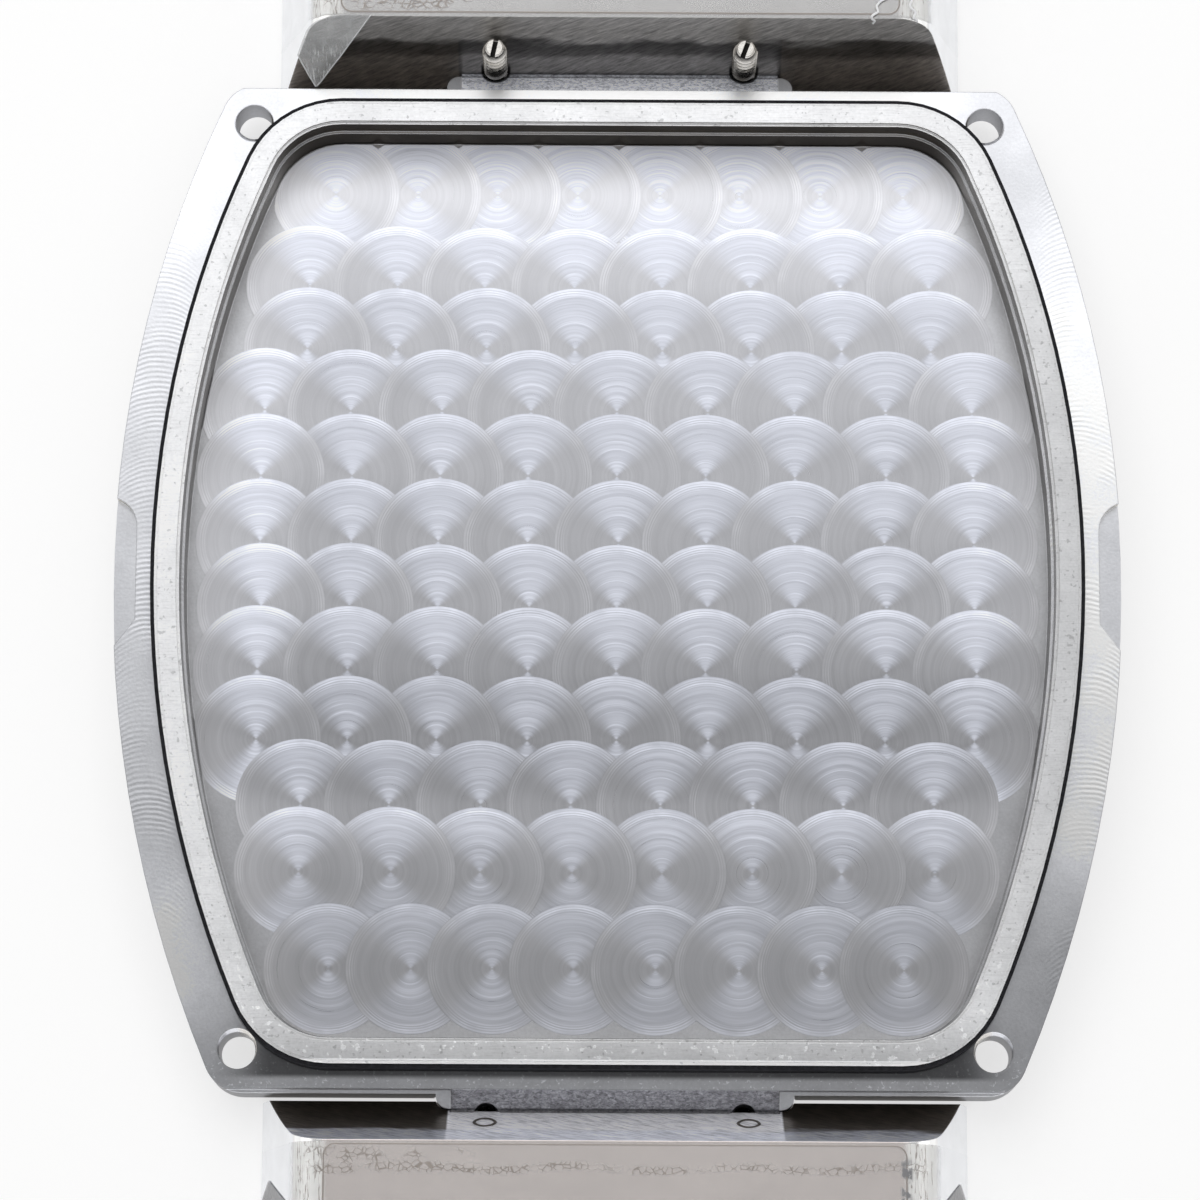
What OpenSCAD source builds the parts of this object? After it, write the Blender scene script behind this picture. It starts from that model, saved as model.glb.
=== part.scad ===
// Back plate of a barrel-shaped wristwatch with its two end links, shown with the
// inner side up. Millimetres. X runs across the watch, Y from 6 o'clock to
// 12 o'clock and Z towards the movement. The origin lies under the middle of the
// plate, in the plane that the two end links rest on.

/* [Back plate] */
// Width of the flange across the middle
flange_w = 40.4; // [38:0.1:44]
// Length of the flange from end to end
flange_l = 41; // [40.2:0.1:44]
// Radius of the flange's bowed sides
flange_side_r = 50.4; // [44:0.2:60]
// Radius of the flange's four corners
flange_corner_r = 1.5; // [1.2:0.1:2.4]
// Thickness of the plate at the flange
plate_t = 2.4; // [2.1:0.1:2.8]
// Radius that the whole plate is curved to along its length
plate_curve_r = 190; // [150:5:300]
// Depth of the recessed floor below the flange
floor_depth = 1.4; // [0.8:0.05:1.6]
// How far the lower layer of each end reaches past the flange
end_step = 0.15; // [0.05:0.05:0.3]
// Depth of that lower layer below the flange
end_step_depth = 0.5; // [0.3:0.05:0.8]

/* [Rim and gasket] */
// Width of the flange outside the rim, at the middle of each side
rim_side = 1.73; // [1.4:0.01:2.5]
// Length of the flange beyond the rim, at each end
rim_end = 0.88; // [0.7:0.01:1.5]
// Radius of the rim's bowed sides
rim_side_r = 44.05; // [40:0.05:50]
// Radius of the rim's corners
rim_corner_r = 4; // [3:0.1:5]
// Thickness of the rim
rim_t = 1; // [0.7:0.05:1.4]
// Height of the rim above the flange
rim_h = 1.2; // [0.6:0.05:1.6]
// Width of the small steps that break the rim's two top edges
rim_edge = 0.12; // [0.05:0.01:0.25]
// Width of the ledge half way down the rim's inner wall
wall_ledge = 0.12; // [0.05:0.01:0.3]
// Height of that ledge above the flange
wall_ledge_h = 0.1; // [-0.4:0.05:0.4]
// Width of the gasket and its groove
gasket_w = 0.16; // [0.1:0.01:0.22]
// Depth of the gasket's groove below the flange
groove_depth = 0.6; // [0.3:0.05:0.9]
// How far the gasket's top lies below the rim's top
gasket_drop = 0.2; // [0.15:0.01:0.5]

/* [Case screw holes] */
// Distance of the corner holes from the flange's bowed sides, across the watch
case_hole_side = 1.52; // [1.2:0.01:1.6]
// Distance of the corner holes from the flange's ends
case_hole_end = 1.47; // [1.3:0.01:1.6]
// Diameter of the corner holes
case_hole_d = 1.45; // [1:0.05:1.6]
// Diameter of the counterbores under them
case_head_d = 2.1; // [1.8:0.05:2.3]
// Depth of the counterbores
case_head_depth = 0.6; // [0.3:0.05:1]
// Depth of the chamfer at the top of each hole
case_hole_chamfer = 0.06; // [0.05:0.01:0.1]

/* [Pry pockets] */
// Length of the pocket at each side of the flange
pocket_l = 6.2; // [4:0.1:9]
// How far each pocket reaches in from the flange's side
pocket_w = 0.9; // [0.5:0.05:1.1]
// Depth of the pockets
pocket_depth = 0.4; // [0.2:0.05:0.8]
// Radius of the pockets' corner at the end towards 12 o'clock
pocket_r = 1.2; // [0.8:0.1:1.8]
// Length of the slant that runs out to the side at their other end
pocket_slant = 1.2; // [0.6:0.1:2]

/* [Tabs] */
// Width of each tab that carries an end link
tab_w = 13; // [12.4:0.1:14]
// How far the tab's flat reaches into the link, from the flange's end
tab_l = 1.9; // [1.7:0.05:2.2]
// Length of the milled bevel between the flange and the tab's flat
bevel_l = 0.77; // [0.74:0.01:0.9]
// Height of the bevel
bevel_h = 0.7; // [0.55:0.05:0.9]
// Thickness of the tab at the foot of the bevel
tab_t = 1.3; // [1.15:0.05:1.4]
// How much the tab's flat rises under the link
tab_rise = 0.1; // [0.05:0.05:0.2]
// How much wider the lower tab is, at each side
shelf_w = 0.6; // [0.4:0.05:1]
// How far the lower tab reaches past the flange
shelf_l = 0.72; // [0.5:0.02:0.74]
// Corner radius of the lower tab
shelf_r = 0.5; // [0.2:0.05:0.6]

/* [End links] */
// Thickness of the link's foot under the tab
foot_t = 1.6; // [1.3:0.05:2]
// How far the foot reaches under the flange
foot_reach = 0.4; // [0.2:0.05:0.6]
// Width of the link at its base
link_w = 28.16; // [26:0.02:30]
// Width of the link's flat top
link_top_w = 22.4; // [21.6:0.1:24]
// Height of the link above the flange's end
link_rise = 2.84; // [2:0.05:3.4]
// Height of the upright part of the link's flanks
link_side_h = 0.9; // [0.5:0.05:1.4]
// Radius of the link's shoulders
shoulder_r = 1.6; // [1:0.05:1.8]
// How far the link's top edge stands off the flange's end
link_face_gap = 2.23; // [2.1:0.01:2.6]
// How far the link's lower lip stands off the flange's end
link_lip_gap = 0.35; // [0.3:0.01:0.5]
// Height of that lip above the link's base
link_lip_h = 2; // [1.6:0.05:2.2]
// Radius of the hollow inner face
cove_r = 20; // [12:1:40]
// Length of the link from the flange's end
link_l = 9.1; // [8:0.1:11]
// Radius of the link's rounded outer face
link_nose_r = 6.2; // [5.7:0.1:7]
// Width of the recess for the strap
strap_w = 19.6; // [16:0.1:21]
// Depth of the recess for the strap
strap_depth = 3.8; // [3:0.1:4.4]
// Diameter of the bore for the strap's bar
bar_d = 1.5; // [1:0.05:1.8]
// Distance of that bore from the link's outer end
bar_inset = 2.4; // [2:0.1:3]
// Height of that bore above the link's base
bar_h = 2.6; // [2:0.1:3]

/* [Strap screws] */
// Distance between the two strap screws of one end
screw_dx = 10.2; // [9:0.1:10.6]
// How far the screws stand off the flange's end
screw_off = 1; // [0.95:0.01:1.2]
// Diameter of the screws' shanks
screw_d = 0.98; // [0.8:0.02:1.1]
// Diameter of the screws' heads
head_d = 1.5; // [1.3:0.05:1.7]
// Height of the screws' heads
head_h = 0.62; // [0.4:0.02:0.8]
// How far the heads sit up in the foot
head_sink = 0.08; // [0.05:0.01:0.3]
// Width of the slot in the heads
slot_w = 0.25; // [0.15:0.01:0.35]
// Depth of the slot in the heads
slot_depth = 0.3; // [0.15:0.01:0.4]
// How far the screws at 12 o'clock stand above the flange's crown
tip_over_crown = 1.5; // [1:0.1:2.5]
// How far the tips at 6 o'clock lie below the tab's flat
tip_below_tab = 0.25; // [0.1:0.05:0.5]
// Length of the taper at the screws' tips
tip_taper = 0.18; // [0.1:0.02:0.3]
// Radial clearance round the screws
screw_gap = 0.02; // [0.01:0.01:0.05]

/* [Protective film] */
// Thickness of the film on the links
film_t = 0.06; // [0.04:0.01:0.12]
// How far the film starts behind the link's top edge
film_start = 0.05; // [0:0.05:1]

/* [Fits] */
// Clearance between the tab and its pocket in the link
tab_gap = 0.03; // [0.02:0.01:0.06]

/* [Hidden] */
$fn = 96;
end_y = flange_l/2;
rim_half_w = flange_w/2 - rim_side;
rim_half_l = end_y - rim_end;
case_hole_y = end_y - case_hole_end;
case_hole_x = flange_w/2 - case_hole_side - flange_side_r
    + sqrt(pow(flange_side_r, 2) - pow(case_hole_y, 2));
sag = plate_curve_r - sqrt(pow(plate_curve_r, 2) - pow(end_y, 2));
tab_z = foot_t + tab_t;
end_z = tab_z + bevel_h;
crown_z = end_z + sag;
tab_end_y = end_y + tab_l;
bevel_y = end_y + bevel_l;
shelf_y = end_y + shelf_l;
screw_y = end_y + screw_off;
link_top_z = end_z + link_rise;
face_y = end_y + link_face_gap;
lip_y = end_y + link_lip_gap;
nose_y = end_y + link_l;
strap_y = nose_y - strap_depth;
bar_y = nose_y - bar_inset;
foot_w = tab_w + 2*shelf_w - 0.2;
cut_h = 20;
span = 80;
side_steps = 12;
corner_steps = 9;
tab_slope = tab_rise/(tab_l - bevel_l);

function arc(c, r, a0, a1, n = 8) =
    [for (i = [0:n]) c + r*[cos(a0 + (a1 - a0)*i/n), sin(a0 + (a1 - a0)*i/n)]];

// Height of a surface that lies this far above the flange, at a distance y
function curved_z(y, above = 0) =
    crown_z - plate_curve_r + sqrt(pow(plate_curve_r + above, 2) - y*y);

// Centre of the arc of radius r that passes p and q and bows away from the plate
function arc_centre(p, q, r) =
    let (d = q - p, half = norm(d)/2, out = [-d[1], d[0]]/norm(d))
    (p + q)/2 + out*sqrt(r*r - half*half);

function turned(points) = [for (i = [len(points) - 1:-1:0]) points[i]];
function mirrored(points, sx, sy) = [for (p = points) [sx*p[0], sy*p[1]]];

// Barrel outline: two bowed sides, two straight ends and four round corners.
// One quarter runs from the middle of a side to the straight end.
module barrel(half_w, half_l, side_r, corner_r) {
    bow_x = side_r - half_w;
    corner_y = half_l - corner_r;
    corner_x = sqrt(pow(side_r - corner_r, 2) - pow(corner_y, 2)) - bow_x;
    touch = atan2(corner_y, corner_x + bow_x);
    quarter = concat(arc([-bow_x, 0], side_r, touch/(2*side_steps), touch, side_steps),
                     arc([corner_x, corner_y], corner_r,
                         touch + (90 - touch)/corner_steps, 90, corner_steps - 1));
    polygon(concat(quarter, turned(mirrored(quarter, -1, 1)),
                   mirrored(quarter, -1, -1), turned(mirrored(quarter, 1, -1))));
}

// Outline of the rim, moved outwards by grow
module rim_outline(grow = 0) {
    barrel(rim_half_w + grow, rim_half_l + grow, rim_side_r + grow, rim_corner_r + grow);
}

module upright(h = cut_h) {
    linear_extrude(h) children();
}

// Everything below a surface that follows the plate's curve
module under_curve(above = 0) {
    translate([0, 0, crown_z - plate_curve_r])
        rotate([0, 90, 0])
            cylinder(h = span, r = plate_curve_r + above, center = true, $fn = 720);
}

// A solid with this outline in Y and Z, running across the watch
module across(width) {
    rotate([90, 0, 90])
        linear_extrude(width, center = true)
            children();
}

// A solid with this outline in X and Z, running along the watch from y0 to y1
module along(y0, y1) {
    translate([0, y1, 0])
        rotate([90, 0, 0])
            linear_extrude(y1 - y0)
                children();
}

// The tab's outline in Y and Z, grown by gap at its top and end
module tab_outline(gap = 0) {
    end_rise = tab_slope*(tab_l + gap - bevel_l);
    polygon([[end_y - 1, foot_t], [tab_end_y + gap, foot_t],
             [tab_end_y + gap, tab_z + end_rise + gap], [bevel_y, tab_z + gap],
             [end_y, end_z - 0.02 + gap], [end_y - 1, end_z - 0.02 + gap]]);
}

module shelf_outline(grow = 0) {
    x = tab_w/2 + shelf_w + grow;
    y = shelf_y + grow;
    polygon(concat([[x, 0]], arc([x - shelf_r, y - shelf_r], shelf_r, 0, 90),
                   arc([shelf_r - x, y - shelf_r], shelf_r, 90, 180), [[-x, 0]]));
}

module pocket_outline() {
    x0 = flange_w/2 - pocket_w;
    y0 = pocket_l/2;
    polygon(concat([[flange_w/2 + 2, y0]],
                   arc([x0 + pocket_r, y0 - pocket_r], pocket_r, 90, 180),
                   [[x0, pocket_slant - y0], [flange_w/2, -y0], [flange_w/2 + 2, -y0]]));
}

// Both ends of the watch are alike
module both_ends() {
    children();
    rotate(180) children();
}

module strap_screw_places() {
    for (s = [-1, 1])
        translate([s*screw_dx/2, screw_y, 0]) children();
}

module plate_blank() {
    difference() {
        intersection() {
            upright() {
                barrel(flange_w/2, end_y + end_step, flange_side_r, flange_corner_r);
                both_ends() difference() {
                    shelf_outline();
                    translate([-tab_w/2, end_y]) square([tab_w, 2]);
                }
            }
            under_curve();
        }
        both_ends() difference() {
            translate([-span/2, end_y, 0]) cube([span, 5, cut_h]);
            under_curve(-end_step_depth);
        }
    }
    both_ends() across(tab_w) tab_outline();
    difference() {
        intersection() {
            upright() rim_outline();
            under_curve(rim_h);
        }
        difference() {
            upright() square(span, center = true);
            upright() rim_outline(-rim_edge);
            under_curve(rim_h - rim_edge);
        }
    }
}

module case_hole() {
    top = curved_z(case_hole_y);
    bottom = curved_z(case_hole_y, -plate_t);
    cylinder(h = cut_h, d = case_hole_d);
    cylinder(h = bottom + case_head_depth, d = case_head_d);
    translate([0, 0, top - case_hole_chamfer])
        cylinder(h = 1, d1 = case_hole_d, d2 = case_hole_d + 2);
}

module back_plate() {
    color("silver")
    difference() {
        plate_blank();
        under_curve(-plate_t);
        // Recess with its stepped wall
        difference() {
            upright() rim_outline(rim_edge - rim_t);
            under_curve(rim_h - rim_edge);
        }
        difference() {
            upright() rim_outline(-rim_t);
            under_curve(wall_ledge_h);
        }
        difference() {
            upright() rim_outline(-rim_t - wall_ledge);
            under_curve(-floor_depth);
        }
        // Groove for the gasket
        difference() {
            upright() rim_outline(gasket_w);
            upright() rim_outline();
            under_curve(-groove_depth);
        }
        // Pockets for the case opener
        for (side = [0, 1])
            mirror([side, 0, 0]) difference() {
                upright() pocket_outline();
                under_curve(-pocket_depth);
            }
        for (sx = [-1, 1], sy = [-1, 1])
            translate([sx*case_hole_x, sy*case_hole_y, 0]) case_hole();
        // Rebate for the links' feet, and the screws' holes
        both_ends() {
            translate([-foot_w/2 - 0.2, end_y - foot_reach - 0.1, -1])
                cube([foot_w + 0.4, 5, foot_t + 1]);
            strap_screw_places() cylinder(h = cut_h, r = screw_d/2 + screw_gap);
        }
    }
}

module case_gasket() {
    color("dimgray")
    difference() {
        intersection() {
            upright() rim_outline(gasket_w);
            under_curve(rim_h - gasket_drop);
        }
        upright() rim_outline();
        under_curve(-groove_depth);
    }
}

// Outline of the link in X and Z, grown by the film's thickness where one is given
module link_outline(grow = 0) {
    centre = [link_top_w/2, link_top_z - shoulder_r];
    low = [link_w/2, link_side_h];
    reach = norm(low - centre);
    turn = atan2(low[1] - centre[1], low[0] - centre[0]) + acos(shoulder_r/reach);
    normal = [cos(turn), sin(turn)];
    r = shoulder_r + grow;
    knee = low + grow*normal;
    base = grow > 0 ? knee[1] : 0;
    side = [[knee[0], base], knee, centre + r*normal, [centre[0], link_top_z + grow]];
    polygon(concat(side, [for (i = [3:-1:0]) [-side[i][0], side[i][1]]]));
    for (s = [-1, 1])
        translate([s*centre[0], centre[1]]) circle(r);
}

// The block that a link is cut from, with its rounded outer face
module link_block(y0, grow = 0) {
    nose_c = nose_y - link_nose_r;
    intersection() {
        along(y0, nose_y + 2) link_outline(grow);
        union() {
            translate([0, nose_c, link_side_h]) rotate([0, 90, 0])
                cylinder(h = span, r = link_nose_r + grow, center = true, $fn = 192);
            translate([-span/2, y0 - 1, -1]) cube([span, nose_c - y0 + 1, cut_h]);
        }
    }
}

module strap_recess() {
    translate([-strap_w/2, strap_y, -1]) cube([strap_w, 2*strap_depth, cut_h]);
}

module bar_bore() {
    translate([0, bar_y, bar_h])
        rotate([0, 90, 0])
            cylinder(h = span, d = bar_d, center = true);
}

// The screws of one end come out in front of the hollow face, in two grooves
module end_link(grooved = false) {
    cove = arc_centre([lip_y, link_lip_h], [face_y, link_top_z], cove_r);
    difference() {
        link_block(lip_y);
        translate([0, cove[0], cove[1]]) rotate([0, 90, 0])
            cylinder(h = span, r = cove_r, center = true);
        translate([0, 0, foot_t]) upright() shelf_outline(tab_gap);
        across(tab_w + 2*tab_gap) tab_outline(tab_gap);
        strap_recess();
        bar_bore();
        link_foot_holes();
        if (grooved)
            strap_screw_places() cylinder(h = cut_h, r = screw_d/2 + screw_gap);
    }
    difference() {
        translate([-foot_w/2, end_y - foot_reach, 0])
            cube([foot_w, tab_l + foot_reach, foot_t]);
        link_foot_holes();
    }
}

module link_foot_holes() {
    strap_screw_places() {
        translate([0, 0, -1]) cylinder(h = foot_t + 1.4, r = screw_d/2 + screw_gap);
        translate([0, 0, -1]) cylinder(h = head_sink + head_h + 1, r = head_d/2 + 0.05);
    }
}

module strap_screw(tip_z) {
    color("lightgray")
    difference() {
        union() {
            translate([0, 0, head_sink]) cylinder(h = head_h, d = head_d);
            translate([0, 0, head_sink]) cylinder(h = tip_z - tip_taper - head_sink, d = screw_d);
            translate([0, 0, tip_z - tip_taper])
                cylinder(h = tip_taper, d1 = screw_d, d2 = screw_d - tip_taper*2);
        }
        translate([-head_d, -slot_w/2, -1]) cube([2*head_d, slot_w, 1 + head_sink + slot_depth]);
    }
}

// A screw of the end that lies at turn, on the side given by its sign in X
module placed_screw(turn, side, tip_z) {
    rotate(turn)
        translate([(turn == 0 ? side : -side)*screw_dx/2, screw_y, 0])
            strap_screw(tip_z);
}

module protective_film() {
    color([0.85, 0.9, 0.95, 0.4])
    difference() {
        link_block(face_y + film_start, film_t);
        link_block(lip_y);
        strap_recess();
        bar_bore();
    }
}

tip_12 = crown_z + tip_over_crown;
tip_6 = tab_z - tip_below_tab;

back_plate();
case_gasket();
color("gainsboro") end_link(true);  // end_link_12
color("gainsboro") rotate(180) end_link();  // end_link_6
placed_screw(0, -1, tip_12);  // strap_screw_12_left
placed_screw(0, 1, tip_12);  // strap_screw_12_right
placed_screw(180, -1, tip_6);  // strap_screw_6_left
placed_screw(180, 1, tip_6);  // strap_screw_6_right
protective_film();  // protective_film_12
rotate(180) protective_film();  // protective_film_6
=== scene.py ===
import math
import random

import bpy
from mathutils import Matrix, Vector, noise


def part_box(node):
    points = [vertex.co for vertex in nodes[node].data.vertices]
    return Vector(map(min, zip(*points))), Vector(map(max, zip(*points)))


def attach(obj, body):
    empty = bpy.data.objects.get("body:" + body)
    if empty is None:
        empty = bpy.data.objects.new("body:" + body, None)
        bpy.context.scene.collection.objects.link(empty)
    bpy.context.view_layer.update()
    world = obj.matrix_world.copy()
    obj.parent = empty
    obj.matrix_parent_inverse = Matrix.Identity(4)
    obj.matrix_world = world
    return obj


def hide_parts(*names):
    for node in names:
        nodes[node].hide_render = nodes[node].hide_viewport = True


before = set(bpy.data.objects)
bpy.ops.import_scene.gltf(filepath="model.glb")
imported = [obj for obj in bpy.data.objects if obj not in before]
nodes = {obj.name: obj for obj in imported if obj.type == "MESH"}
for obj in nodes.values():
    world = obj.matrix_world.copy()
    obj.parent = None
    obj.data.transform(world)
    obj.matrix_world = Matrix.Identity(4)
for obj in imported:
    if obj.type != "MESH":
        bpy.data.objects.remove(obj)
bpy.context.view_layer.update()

mm = 0.001

# Small helpers


def deselectAll():
    bpy.ops.object.select_all(action="DESELECT")


def pick(obj):
    deselectAll()
    obj.select_set(True)
    bpy.context.view_layer.objects.active = obj


def settle(obj):
    # Puts the place into the mesh, so the object sits at the origin
    pick(obj)
    bpy.ops.object.transform_apply(location=True, rotation=True, scale=True)


def applyModifier(obj, kind, **settings):
    pick(obj)
    modifier = obj.modifiers.new(kind.title(), kind)
    for key, value in settings.items():
        setattr(modifier, key, value)
    bpy.ops.object.modifier_apply(modifier=modifier.name)


def copyOf(obj):
    twin = obj.copy()
    twin.data = obj.data.copy()
    bpy.context.scene.collection.objects.link(twin)
    return twin


def joinAll(parts, name):
    pick(parts[0])
    for part in parts[1:]:
        part.select_set(True)
    bpy.ops.object.join()
    parts[0].name = name
    parts[0].data.name = name
    return parts[0]


def editAll():
    bpy.ops.object.mode_set(mode="EDIT")
    bpy.ops.mesh.select_all(action="SELECT")


def editDone():
    bpy.ops.object.mode_set(mode="OBJECT")


def turnOutwards(obj):
    pick(obj)
    editAll()
    bpy.ops.mesh.normals_make_consistent(inside=False)
    editDone()


def smoothAll(obj):
    for polygon in obj.data.polygons:
        polygon.use_smooth = True


def solidGrid(name, columns, rows, place, thickness):
    # A thin sheet: a grid whose points are put in place by their two shares, 0 to 1
    deselectAll()
    bpy.ops.mesh.primitive_grid_add(x_subdivisions=columns, y_subdivisions=rows, size=2 * mm)
    obj = bpy.context.active_object
    obj.name = name
    obj.data.uv_layers.active.name = "sheet"
    for vertex in obj.data.vertices:
        vertex.co = place((vertex.co.x / mm + 1) / 2, (vertex.co.y / mm + 1) / 2) * mm
    applyModifier(obj, "SOLIDIFY", thickness=thickness * mm, offset=1)
    smoothAll(obj)
    return obj


def wear(obj, material):
    obj.data.materials.clear()
    obj.data.materials.append(material)


def dress(nodeName, material):
    for slot in nodes[nodeName].material_slots:
        slot.material = material


# Material building: most helpers add a node and return the socket to link on


def feed(tree, socket, value):
    if isinstance(value, bpy.types.NodeSocket):
        tree.links.new(value, socket)
    elif value is not None:
        socket.default_value = value


def give(tree, **sockets):
    # Sets or links sockets of the shader; _ stands for the space in their names
    shader = tree.nodes["Principled BSDF"]
    for name, value in sockets.items():
        feed(tree, shader.inputs[name.replace("_", " ")], value)


def newMaterial(name, **sockets):
    material = bpy.data.materials.new(name)
    material.use_nodes = True
    give(material.node_tree, **sockets)
    return material, material.node_tree


def addNode(tree, kind, sockets=None, **settings):
    node = tree.nodes.new("ShaderNode" + kind)
    for key, value in settings.items():
        setattr(node, key, value)
    for key, value in (sockets or {}).items():
        feed(tree, node.inputs[key], value)
    return node


def calc(tree, operation, *values):
    return addNode(tree, "Math", dict(enumerate(values)), operation=operation).outputs[0]


def chain(tree, operation, values):
    total = values[0]
    for value in values[1:]:
        total = calc(tree, operation, total, value)
    return total


def times(tree, *values):
    return chain(tree, "MULTIPLY", values)


def plus(tree, *values):
    return chain(tree, "ADD", values)


def minus(tree, a, b):
    return calc(tree, "SUBTRACT", a, b)


def timesPlus(tree, a, b, c):
    return calc(tree, "MULTIPLY_ADD", a, b, c)


def absolute(tree, a):
    return calc(tree, "ABSOLUTE", a)


def most(tree, *values):
    return chain(tree, "MAXIMUM", values)


def least(tree, a, b):
    return calc(tree, "MINIMUM", a, b)


def lengthOf(tree, x, y):
    return calc(tree, "SQRT", timesPlus(tree, x, x, times(tree, y, y)))


def placeMm(tree):
    # The piece's own coordinates, in millimetres
    coords = addNode(tree, "TexCoord").outputs["Object"]
    return addNode(tree, "VectorMath", {0: coords, "Scale": 1000}, operation="SCALE").outputs[0]


def split(tree, vector):
    return addNode(tree, "SeparateXYZ", {0: vector}).outputs[:3]


def joined(tree, x, y, z):
    return addNode(tree, "CombineXYZ", {0: x, 1: y, 2: z}).outputs[0]


def mapped(tree, vector, scale=(1, 1, 1), turn=(0, 0, 0)):
    sockets = {"Vector": vector, "Scale": scale, "Rotation": [math.radians(a) for a in turn]}
    return addNode(tree, "Mapping", sockets).outputs[0]


def noiseOf(tree, vector, scale, detail=3, roughness=0.5, distortion=0):
    sockets = {"Vector": vector, "Scale": scale, "Detail": detail, "Roughness": roughness,
               "Distortion": distortion}
    return addNode(tree, "TexNoise", sockets).outputs["Fac"]


def band(tree, value, low, high, outLow=0, outHigh=1, smooth=False):
    sockets = {"Value": value, "From Min": low, "From Max": high, "To Min": outLow, "To Max": outHigh}
    kind = "SMOOTHSTEP" if smooth else "LINEAR"
    return addNode(tree, "MapRange", sockets, clamp=True, interpolation_type=kind).outputs[0]


def mixValue(tree, factor, a, b):
    return addNode(tree, "Mix", {0: factor, 2: a, 3: b}, data_type="FLOAT").outputs[0]


def within(tree, mask, value):
    # The value inside the mask, 1 outside
    return mixValue(tree, mask, 1.0, value)


def toned(tree, masks, tones):
    return times(tree, *[within(tree, mask, tones[name]) for name, mask in masks.items()])


def mixColour(tree, factor, a, b, blend="MIX"):
    a, b = [(*value, 1) if isinstance(value, tuple) else value for value in (a, b)]
    return addNode(tree, "Mix", {0: factor, 6: a, 7: b}, data_type="RGBA", blend_type=blend).outputs[2]


def window(tree, value, low, high, soft):
    # 1 between low and high, fading over soft at each side
    return times(tree, band(tree, value, low - soft, low), band(tree, value, high, high + soft, 1, 0))


def tinted(tree, colour, shade):
    return mixColour(tree, 1.0, colour, joined(tree, shade, shade, shade), "MULTIPLY")


def bumpOf(tree, height, distance, strength=1.0, normal=None):
    # distance is in millimetres
    sockets = {"Strength": strength, "Distance": distance * mm, "Height": height, "Normal": normal}
    return addNode(tree, "Bump", sockets).outputs[0]


def softEdge(tree, radius):
    return addNode(tree, "Bevel", {"Radius": radius * mm}, samples=4).outputs[0]


def trueNormal(tree):
    return addNode(tree, "NewGeometry").outputs["Normal"]


def edgeMask(tree, soft):
    # 1 along the edges, where the softened normal leaves the true one
    dot = addNode(tree, "VectorMath", {0: trueNormal(tree), 1: soft}, operation="DOT_PRODUCT")
    return band(tree, dot.outputs["Value"], 0.999, 0.96)


# Camera, lamps, floor

camera = {
    "target": (-0.70, -1.02, 4.706),  # mm
    "distance": 200,
    "tilt": 10.9,
    "roll": 0.3,
    "lens": 150,
}
key = {"place": (-40, 130, 260), "size": 220, "power": 0.30, "colour": (1.0, 0.995, 0.985)}
studio = {
    "dim": 0.46,  # the ceiling away from the soft boxes
    "darkest": (-0.16, 0.02, 0.20),  # and where it is darkest, just south of straight up
    "bright": 1.35,  # what the soft box over 12 o'clock adds to it
    "boxAlong": (-0.06, 0.72),  # where the box fades in, from straight up towards 12 o'clock
    "boxAcross": (0.16, 0.46),  # and where it fades out sideways
    "beyond": 0.30,  # the share of it that is left there
    "rear": (-0.30, -0.52, 1.30),  # the box over 6 o'clock: where it fades in, and how bright
    "walls": (0.62, 0.85, 0.80),  # white walls left and right: where they start, and how bright
    "horizon": 0.95,
    "fill": 0.65,
    "floor": 0.42,
    "floorGlow": 0.60,
}


def makeCamera(c):
    data = bpy.data.cameras.new("camera")
    data.lens = c["lens"]
    data.sensor_width = 36
    data.clip_start = 0.005
    data.clip_end = 10
    obj = bpy.data.objects.new("camera", data)
    bpy.context.scene.collection.objects.link(obj)
    tilt = math.radians(c["tilt"])
    back = Vector((0, -math.sin(tilt), math.cos(tilt)))
    place = (Vector(c["target"]) + back * c["distance"]) * mm
    turn = Matrix.Rotation(tilt, 4, "X") @ Matrix.Rotation(math.radians(c["roll"]), 4, "Z")
    obj.matrix_world = Matrix.Translation(place) @ turn
    bpy.context.scene.camera = obj


def makeLamp(l):
    data = bpy.data.lights.new("key", "AREA")
    data.size = l["size"] * mm
    data.energy = l["power"]
    data.color = l["colour"]
    obj = bpy.data.objects.new("key", data)
    bpy.context.scene.collection.objects.link(obj)
    obj.visible_glossy = False  # metal mirrors the soft box of the world instead
    obj.location = Vector(l["place"]) * mm
    obj.rotation_euler = (-obj.location).to_track_quat("-Z", "Y").to_euler()


def seenDirectly(tree):
    # 1 where the camera, a reflection or glass looks, 0 for the light on the object
    rays = addNode(tree, "LightPath").outputs
    return most(tree, rays["Is Camera Ray"], rays["Is Glossy Ray"], rays["Is Transmission Ray"])


def makeWorld(s):
    world = bpy.data.worlds.new("studio")
    bpy.context.scene.world = world
    world.use_nodes = True
    tree = world.node_tree
    east, north, up = split(tree, addNode(tree, "TexCoord").outputs["Generated"])
    sideways = absolute(tree, east)
    inBox = times(tree, band(tree, north, *s["boxAlong"], smooth=True),
                 band(tree, sideways, *s["boxAcross"], 1, s["beyond"], smooth=True))
    darkEnd, dimStart, darkest = s["darkest"]
    ceiling = band(tree, north, darkEnd, dimStart, darkest, s["dim"], smooth=True)
    box = timesPlus(tree, inBox, s["bright"], ceiling)
    for value, (start, full, bright) in ((north, s["rear"]), (sideways, s["walls"])):
        box = plus(tree, box, band(tree, value, start, full, 0, bright, smooth=True))
    low = band(tree, up, 0.02, 0.30, 1, 0, smooth=True)
    shade = mixValue(tree, low, box, s["horizon"])
    sky = tree.nodes["Background"].inputs
    feed(tree, sky["Strength"], mixValue(tree, seenDirectly(tree), s["fill"], shade))
    feed(tree, sky["Color"], (1, 1, 1, 1))


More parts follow.
